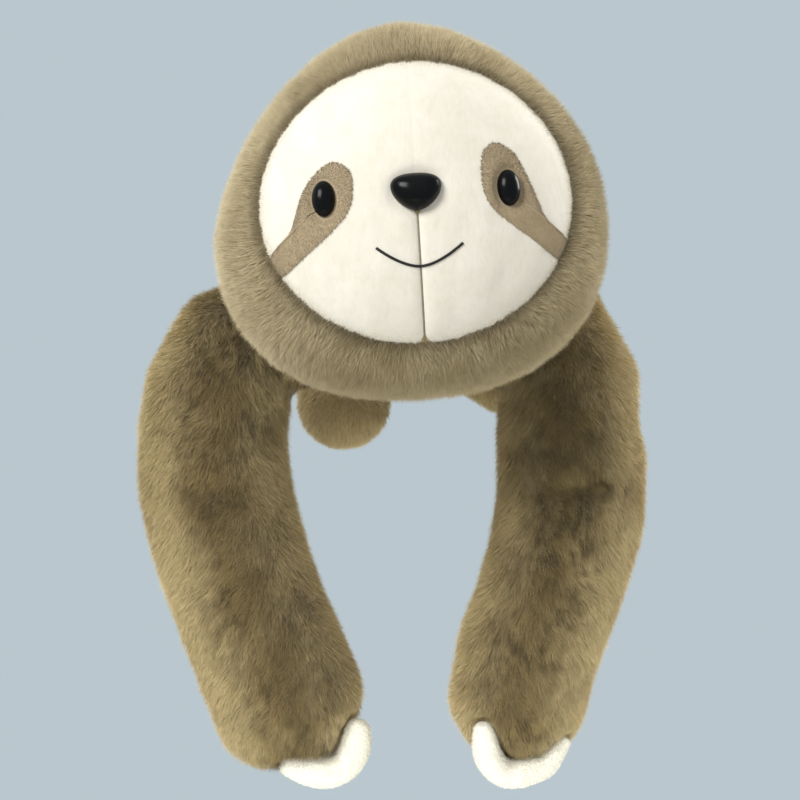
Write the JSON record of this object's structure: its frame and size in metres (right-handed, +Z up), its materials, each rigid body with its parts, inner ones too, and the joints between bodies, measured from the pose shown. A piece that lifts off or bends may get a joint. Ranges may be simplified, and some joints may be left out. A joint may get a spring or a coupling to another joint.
{
  "type": "weighted plush sloth",
  "caption": "Weighted plush sloth with a round head, long bead-filled arms, soft claws and short legs, made of sewn plush covers, stuffing and bead pouches.",
  "frame": {"origin": "the point on the flat of the belly, below the neck end, where a hand carries the toy", "axes": "+Z up, -Y the way the face looks, +X towards the toy's own left arm"},
  "size_m": [0.4789, 0.5426, 0.688],
  "materials": {
    "long_plush": "long soft pile, greyish tan",
    "face_plush": "short cream plush",
    "patch_plush": "short tan plush",
    "claw_plush": "short white plush",
    "gloss_black": "glossy, nearly black",
    "washer_plastic": "plain moulded",
    "thread": "black embroidery thread",
    "stuffing": "white polyester fibre",
    "pouch_cloth": "plain woven cotton",
    "glass_beads": "fine glass beads"
  },
  "bodies": {
    "torso": {"torso_cover": "long_plush", "back_stuffing": "stuffing", "belly_stuffing": "stuffing", "belly_weight_pouch": "pouch_cloth", "belly_glass_beads": "glass_beads", "closing_seam": "thread"},
    "neck": {"neck_seam": "long_plush"},
    "head": {"head_cover": "long_plush", "head_stuffing": "stuffing", "right_face": "face_plush", "left_face": "face_plush", "right_eye_patch": "patch_plush", "left_eye_patch": "patch_plush", "right_eye": "gloss_black", "left_eye": "gloss_black", "right_eye_washer": "washer_plastic", "left_eye_washer": "washer_plastic", "nose": "gloss_black", "nose_washer": "washer_plastic", "mouth_thread": "thread"},
    "right_shoulder": {"right_shoulder_gusset": "long_plush"},
    "right_upper_arm": {"right_upper_arm_cover": "long_plush", "right_upper_arm_stuffing": "stuffing"},
    "right_forearm": {"right_forearm_cover": "long_plush", "right_forearm_stuffing": "stuffing", "right_paw_pouch": "pouch_cloth", "right_paw_beads": "glass_beads", "right_outer_claw": "claw_plush", "right_inner_claw": "claw_plush"},
    "left_shoulder": {"left_shoulder_gusset": "long_plush"},
    "left_upper_arm": {"left_upper_arm_cover": "long_plush", "left_upper_arm_stuffing": "stuffing"},
    "left_forearm": {"left_forearm_cover": "long_plush", "left_forearm_stuffing": "stuffing", "left_paw_pouch": "pouch_cloth", "left_paw_beads": "glass_beads", "left_outer_claw": "claw_plush", "left_inner_claw": "claw_plush"},
    "right_leg": {"right_leg_cover": "long_plush", "right_leg_stuffing": "stuffing", "right_outer_toe": "claw_plush", "right_inner_toe": "claw_plush"},
    "left_leg": {"left_leg_cover": "long_plush", "left_leg_stuffing": "stuffing", "left_outer_toe": "claw_plush", "left_inner_toe": "claw_plush"}
  },
  "joints": [
    {"name": "neck_turn", "type": "hinge", "parent": "torso", "child": "neck", "pos_m": [0, -0.025, 0.07], "axis": [0, 0, 1], "range_deg": [-12, 12], "stiffness_Nm_per_rad": 3},
    {"name": "neck_nod", "type": "hinge", "parent": "neck", "child": "head", "pos_m": [0, -0.025, 0.07], "axis": [1, 0, 0], "range_deg": [-10, 15], "stiffness_Nm_per_rad": 12},
    {"name": "right_shoulder_spread", "type": "hinge", "parent": "torso", "child": "right_shoulder", "pos_m": [-0.062, 0.01, 0.112], "axis": [0, 1, 0], "range_deg": [0, 40]},
    {"name": "right_shoulder_swing", "type": "hinge", "parent": "right_shoulder", "child": "right_upper_arm", "pos_m": [-0.062, 0.01, 0.06], "axis": [-1, 0, 0], "range_deg": [-30, 30]},
    {"name": "right_elbow_bend", "type": "hinge", "parent": "right_upper_arm", "child": "right_forearm", "pos_m": [-0.155, 0.01, -0.14], "axis": [-1, 0, 0], "range_deg": [-5, 45]},
    {"name": "left_shoulder_spread", "type": "hinge", "parent": "torso", "child": "left_shoulder", "pos_m": [0.062, 0.01, 0.112], "axis": [0, -1, 0], "range_deg": [0, 40]},
    {"name": "left_shoulder_swing", "type": "hinge", "parent": "left_shoulder", "child": "left_upper_arm", "pos_m": [0.062, 0.01, 0.06], "axis": [-1, 0, 0], "range_deg": [-30, 30]},
    {"name": "left_elbow_bend", "type": "hinge", "parent": "left_upper_arm", "child": "left_forearm", "pos_m": [0.163, 0.01, -0.14], "axis": [-1, 0, 0], "range_deg": [-5, 45]},
    {"name": "right_hip_swing", "type": "hinge", "parent": "torso", "child": "right_leg", "pos_m": [-0.064, 0.214, 0.05], "axis": [-1, 0, 0], "range_deg": [-33, 6]},
    {"name": "left_hip_swing", "type": "hinge", "parent": "torso", "child": "left_leg", "pos_m": [0.064, 0.214, 0.05], "axis": [-1, 0, 0], "range_deg": [-33, 6]}
  ]
}
